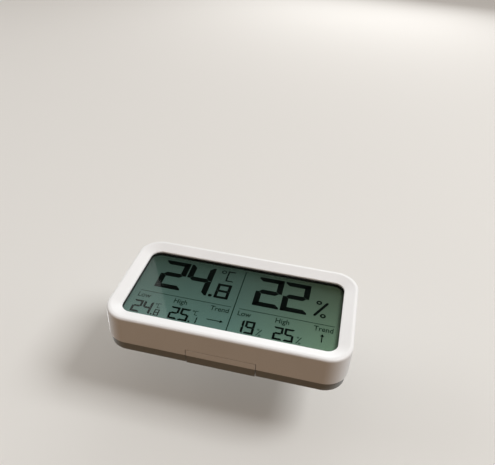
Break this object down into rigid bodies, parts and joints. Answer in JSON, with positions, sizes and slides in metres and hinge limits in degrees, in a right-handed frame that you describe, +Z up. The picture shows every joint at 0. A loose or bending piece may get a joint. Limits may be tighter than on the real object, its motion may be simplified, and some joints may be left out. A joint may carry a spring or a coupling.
{
  "type": "desk thermometer and hygrometer",
  "caption": "Slim white desk thermometer and hygrometer: wide LCD behind a dished bezel, fold-out stand, battery door and push buttons at the back.",
  "frame": {"origin": "centre of the footprint, on the plane that the underside stands on", "axes": "+X along the width, to the right as the display is read; +Y from the display to the back; +Z up"},
  "size_m": [0.12, 0.022, 0.064],
  "materials": {
    "case_abs": "white moulded ABS, satin gloss",
    "cover_abs": "mid grey moulded ABS, fine spark texture",
    "key_abs": "off-white ABS",
    "acrylic": "clear acrylic sheet",
    "foam": "black closed-cell foam",
    "polariser": "grey-green polarising film",
    "lcd_glass": "soda-lime glass",
    "reflector": "satin reflective film",
    "zebra": "silicone with carbon layers",
    "solder_mask": "green solder mask on glass-epoxy",
    "epoxy": "black potting epoxy",
    "black_plastic": "black moulded nylon",
    "membrane": "porous white membrane",
    "steel": "zinc-plated steel",
    "nickel": "nickel-plated spring steel",
    "cell_sleeve": "printed film sleeve on a steel can"
  },
  "bodies": {
    "case": {"front_housing": "case_abs", "display_lens": "acrylic", "display_gasket": "foam", "lcd_front_polariser": "polariser", "lcd_front_glass": "lcd_glass", "lcd_rear_glass": "lcd_glass", "lcd_reflector": "reflector", "zebra_strip_lower": "zebra", "zebra_strip_upper": "zebra", "main_board": "solder_mask", "controller_chip": "epoxy", "humidity_sensor": "black_plastic", "sensor_filter": "membrane", "clock_crystal": "nickel", "capacitor_left": "nickel", "capacitor_right": "nickel", "pull_up_resistor": "black_plastic", "rear_cover": "cover_abs", "stand_pin": "steel", "cell_upper": "cell_sleeve", "cell_lower": "cell_sleeve", "contact_negative": "nickel", "contact_positive": "nickel", "contact_bridge": "nickel", "switch_body_left": "black_plastic", "switch_body_right": "black_plastic", "case_screw_1": "steel", "board_screw_1": "steel", "case_screw_2": "steel", "board_screw_2": "steel", "case_screw_3": "steel", "board_screw_3": "steel", "case_screw_4": "steel", "board_screw_4": "steel"},
    "door": {"battery_door": "cover_abs"},
    "stand_leaf": {"stand": "cover_abs"},
    "left_button": {"button_left": "key_abs", "switch_plunger_left": "key_abs"},
    "right_button": {"button_right": "key_abs", "switch_plunger_right": "key_abs"}
  },
  "joints": [
    {"name": "stand_fold", "type": "hinge", "parent": "case", "child": "stand_leaf", "pos_m": [0, 0.0092, 0.027], "axis": [1, 0, 0], "range_deg": [0, 50]},
    {"name": "door_swing", "type": "hinge", "parent": "case", "child": "door", "pos_m": [0, 0.011, 0.0606], "axis": [1, 0, 0], "range_deg": [0, 65]},
    {"name": "left_button_press", "type": "slide", "parent": "case", "child": "left_button", "axis": [0, -1, 0], "range_m": [0, 0.0005], "stiffness_N_per_m": 400},
    {"name": "right_button_press", "type": "slide", "parent": "case", "child": "right_button", "axis": [0, -1, 0], "range_m": [0, 0.0005], "stiffness_N_per_m": 400}
  ]
}
